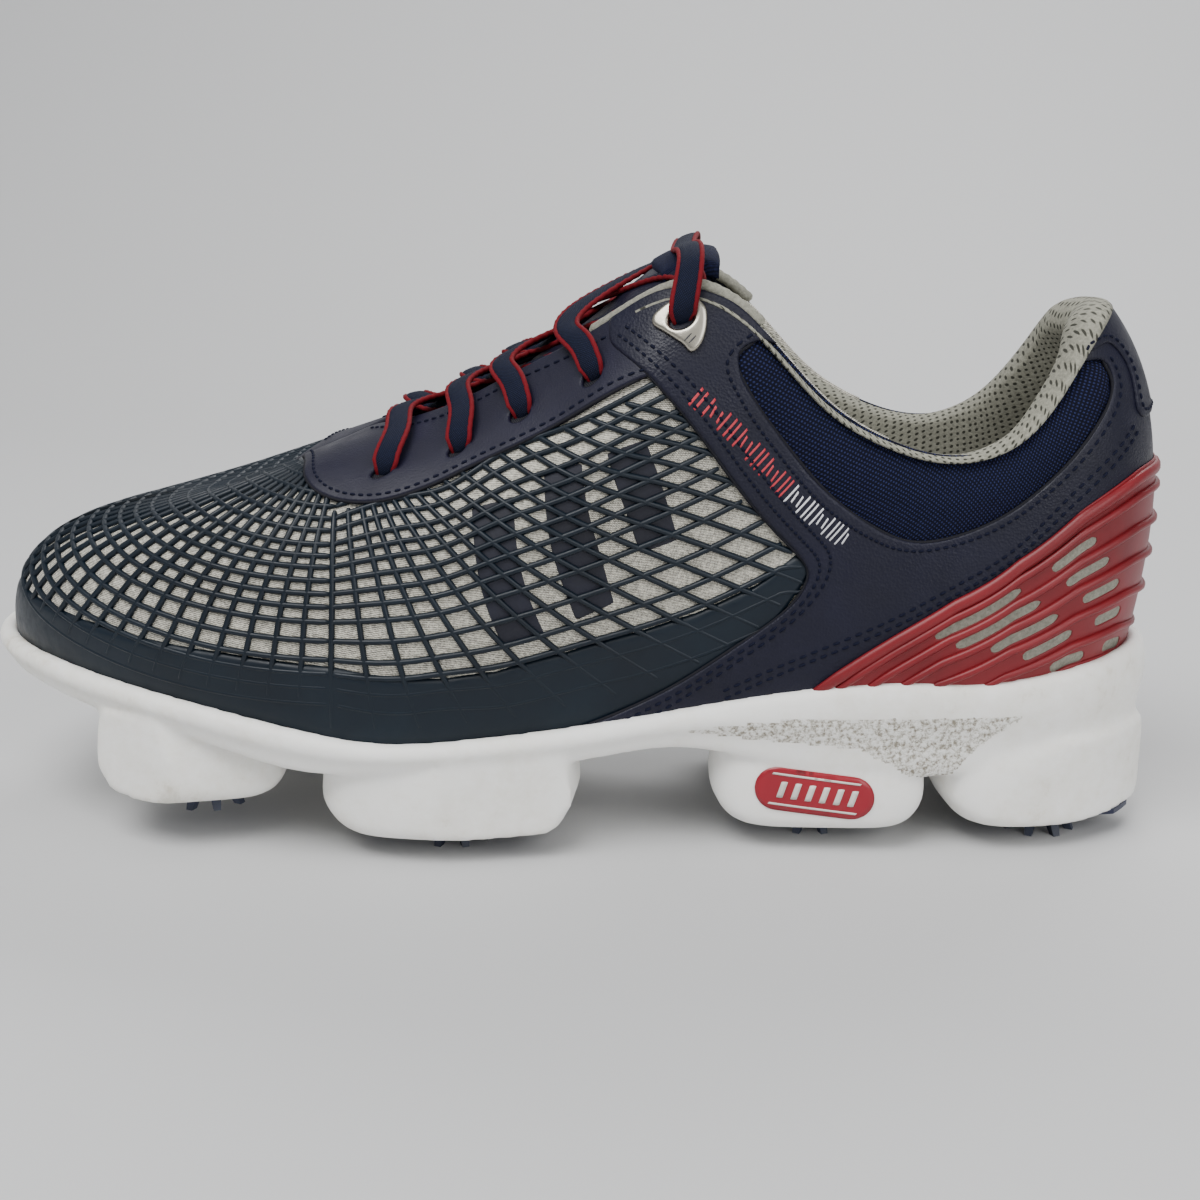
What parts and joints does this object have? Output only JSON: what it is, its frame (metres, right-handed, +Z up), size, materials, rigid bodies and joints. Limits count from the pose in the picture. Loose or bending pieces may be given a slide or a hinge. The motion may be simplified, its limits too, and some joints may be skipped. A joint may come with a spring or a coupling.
{
  "type": "golf shoe",
  "caption": "Left golf shoe, laced: mesh and grid upper, padded collar, ribbed heel cage, podded foam midsole and twist-in cleats.",
  "frame": {"origin": "on the ground, under the middle of the shoe's overall box", "axes": "+X to the heel, -Y to the lateral side, +Z up"},
  "size_m": [0.3038, 0.1042, 0.1471],
  "materials": {
    "eva_white": "white EVA foam with fine moulded grain, slightly scuffed",
    "tpu_navy": "satin navy TPU",
    "tpu_teal": "dark teal-navy TPU film, satin gloss",
    "mesh_grey": "warm grey shimmering mesh",
    "microfibre_navy": "smooth navy microfibre",
    "leather_navy": "navy pebbled leather",
    "knit_navy": "navy twill knit",
    "lining_grey": "grey spacer mesh with small oval holes",
    "foam_grey": "open-cell foam",
    "board_grey": "stitched fibre board",
    "sock_grey": "moulded foam with fabric top",
    "counter_black": "thermoplastic stiffener",
    "tpu_red": "satin red TPU",
    "badge_red": "red enamel inlay",
    "nickel": "satin nickel",
    "lace_navy": "flat navy lace with red edges",
    "cleat_grey": "blue-grey hard TPU"
  },
  "bodies": {
    "shoe": {"badge": "badge_red", "collar_foam": "foam_grey", "collar_knit_lateral": "knit_navy", "collar_knit_medial": "knit_navy", "collar_lining": "lining_grey", "eyelet_lateral": "nickel", "eyelet_medial": "nickel", "eyestay": "microfibre_navy", "grid_cage": "tpu_teal", "heel_cage": "tpu_red", "heel_counter": "counter_black", "heel_tab": "leather_navy", "lace": "lace_navy", "midsole": "eva_white", "pod_plate_lateral_ball": "tpu_navy", "pod_plate_lateral_heel_front": "tpu_navy", "pod_plate_lateral_heel_rear": "tpu_navy", "pod_plate_lateral_toe": "tpu_navy", "pod_plate_medial_ball": "tpu_navy", "pod_plate_medial_heel_front": "tpu_navy", "pod_plate_medial_heel_rear": "tpu_navy", "pod_plate_medial_toe": "tpu_navy", "quarter_lateral": "leather_navy", "quarter_medial": "leather_navy", "receptacle_lateral_ball": "tpu_navy", "receptacle_lateral_heel_front": "tpu_navy", "receptacle_lateral_heel_rear": "tpu_navy", "receptacle_lateral_toe": "tpu_navy", "receptacle_medial_ball": "tpu_navy", "receptacle_medial_heel_front": "tpu_navy", "receptacle_medial_heel_rear": "tpu_navy", "receptacle_medial_toe": "tpu_navy", "shank_plate": "tpu_navy", "sockliner": "sock_grey", "strobel_board": "board_grey", "toe_lug": "tpu_navy", "toe_puff": "counter_black", "vamp_mesh": "mesh_grey"},
    "tongue": {"tongue_shell": "microfibre_navy", "tongue_foam": "foam_grey", "tongue_lining": "lining_grey"},
    "cleat_lateral_toe": {"cleat_lateral_toe": "cleat_grey"},
    "cleat_lateral_ball": {"cleat_lateral_ball": "cleat_grey"},
    "cleat_lateral_heel_front": {"cleat_lateral_heel_front": "cleat_grey"},
    "cleat_lateral_heel_rear": {"cleat_lateral_heel_rear": "cleat_grey"},
    "cleat_medial_toe": {"cleat_medial_toe": "cleat_grey"},
    "cleat_medial_ball": {"cleat_medial_ball": "cleat_grey"},
    "cleat_medial_heel_front": {"cleat_medial_heel_front": "cleat_grey"},
    "cleat_medial_heel_rear": {"cleat_medial_heel_rear": "cleat_grey"}
  },
  "joints": [
    {"name": "tongue_flex", "type": "hinge", "parent": "shoe", "child": "tongue", "pos_m": [-0.0414, 0.00118, 0.0965], "axis": [0, 1, 0], "range_deg": [0, 12], "stiffness_Nm_per_rad": 0.3, "springref_deg": -6.88},
    {"name": "turn_lateral_toe", "type": "hinge", "parent": "shoe", "child": "cleat_lateral_toe", "pos_m": [-0.0894, -0.02332, 0.0136], "axis": [0, 0, 1], "range_deg": [0, 60]},
    {"name": "turn_lateral_ball", "type": "hinge", "parent": "shoe", "child": "cleat_lateral_ball", "pos_m": [-0.0254, -0.02832, 0.0071], "axis": [0, 0, 1], "range_deg": [0, 60]},
    {"name": "turn_lateral_heel_front", "type": "hinge", "parent": "shoe", "child": "cleat_lateral_heel_front", "pos_m": [0.0651, -0.01632, 0.0071], "axis": [0, 0, 1], "range_deg": [0, 60]},
    {"name": "turn_lateral_heel_rear", "type": "hinge", "parent": "shoe", "child": "cleat_lateral_heel_rear", "pos_m": [0.1241, -0.01532, 0.0071], "axis": [0, 0, 1], "range_deg": [0, 60]},
    {"name": "turn_medial_toe", "type": "hinge", "parent": "shoe", "child": "cleat_medial_toe", "pos_m": [-0.0954, 0.02668, 0.0142], "axis": [0, 0, 1], "range_deg": [0, 60]},
    {"name": "turn_medial_ball", "type": "hinge", "parent": "shoe", "child": "cleat_medial_ball", "pos_m": [-0.0394, 0.02868, 0.0071], "axis": [0, 0, 1], "range_deg": [0, 60]},
    {"name": "turn_medial_heel_front", "type": "hinge", "parent": "shoe", "child": "cleat_medial_heel_front", "pos_m": [0.0626, 0.01718, 0.0071], "axis": [0, 0, 1], "range_deg": [0, 60]},
    {"name": "turn_medial_heel_rear", "type": "hinge", "parent": "shoe", "child": "cleat_medial_heel_rear", "pos_m": [0.1196, 0.01768, 0.0071], "axis": [0, 0, 1], "range_deg": [0, 60]}
  ]
}
